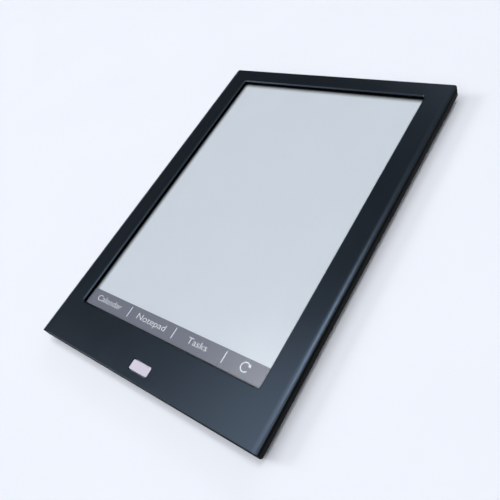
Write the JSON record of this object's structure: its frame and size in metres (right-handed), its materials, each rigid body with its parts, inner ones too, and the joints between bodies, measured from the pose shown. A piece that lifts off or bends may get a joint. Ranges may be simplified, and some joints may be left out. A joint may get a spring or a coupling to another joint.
{
  "type": "personal digital assistant",
  "caption": "Slim tablet-style electronic notebook: recessed e-paper touch screen in a dark bezel, a touch-key strip, a silver home key and a thin rear cover over board and battery.",
  "frame": {"origin": "centre of the back face, where the device lies on a table", "axes": "+X to the right of the screen, +Y towards the top edge with the charging socket, +Z out of the screen"},
  "size_m": [0.112, 0.157, 0.0079],
  "materials": {
    "bezel_paint": "satin blue-black paint on moulded plastic",
    "cover_plastic": "fine-textured black moulded plastic",
    "gasket_foam": "black closed-cell foam",
    "touch_sheet": "clear anti-glare touch laminate",
    "key_strip_print": "mid-grey print with white key marks under the touch sheet",
    "screen_film": "pale grey reflective e-paper",
    "panel_glass": "dark thin-film backplane glass",
    "chip_resin": "black moulding resin",
    "frame_alloy": "cast and trimmed light alloy",
    "board_laminate": "green solder mask on glass laminate",
    "fine_steel": "plated thin steel",
    "socket_plastic": "ivory connector plastic",
    "flex_film": "amber flexible circuit film",
    "pouch_foil": "laminated pouch foil",
    "tape_film": "double-sided tape",
    "lead_red": "red wire insulation",
    "lead_black": "black wire insulation",
    "key_silver": "silver-painted satin key",
    "plunger_plastic": "dark nylon"
  },
  "bodies": {
    "case": {"front_bezel": "bezel_paint", "rear_cover": "cover_plastic", "window_gasket": "gasket_foam", "touch_panel": "touch_sheet", "touch_key_strip": "key_strip_print", "epaper_film": "screen_film", "epaper_backplane": "panel_glass", "screen_driver_chip": "chip_resin", "mid_frame": "frame_alloy", "main_board": "board_laminate", "processor_chip": "chip_resin", "memory_chip": "chip_resin", "flash_chip": "chip_resin", "power_chip": "chip_resin", "touch_controller_chip": "chip_resin", "power_inductor": "chip_resin", "clock_crystal": "fine_steel", "shield_can": "fine_steel", "screen_flex_socket": "socket_plastic", "touch_flex_socket": "socket_plastic", "screen_flex": "flex_film", "touch_flex": "flex_film", "battery_pack": "pouch_foil", "battery_tape": "tape_film", "battery_guard_board": "board_laminate", "battery_lead_positive": "lead_red", "battery_lead_negative": "lead_black", "battery_plug": "socket_plastic", "usb_shell": "fine_steel", "usb_tongue": "chip_resin", "home_switch_housing": "chip_resin", "power_switch_housing": "chip_resin", "reset_switch_housing": "chip_resin", "case_screw_1": "fine_steel", "case_screw_2": "fine_steel", "case_screw_3": "fine_steel", "case_screw_4": "fine_steel", "case_screw_5": "fine_steel", "case_screw_6": "fine_steel"},
    "home_key": {"home_button": "key_silver", "home_switch_plunger": "plunger_plastic"},
    "power_key": {"power_button": "cover_plastic", "power_switch_plunger": "plunger_plastic"},
    "reset_key": {"reset_switch_plunger": "plunger_plastic"}
  },
  "joints": [
    {"name": "home_press", "type": "slide", "parent": "case", "child": "home_key", "axis": [0, 0, -1], "range_m": [0, 0.0003], "stiffness_N_per_m": 3000},
    {"name": "power_press", "type": "slide", "parent": "case", "child": "power_key", "axis": [0, -1, 0], "range_m": [0, 0.0003], "stiffness_N_per_m": 3000},
    {"name": "reset_press", "type": "slide", "parent": "case", "child": "reset_key", "axis": [0, 0, 1], "range_m": [0, 0.00025], "stiffness_N_per_m": 3000}
  ]
}
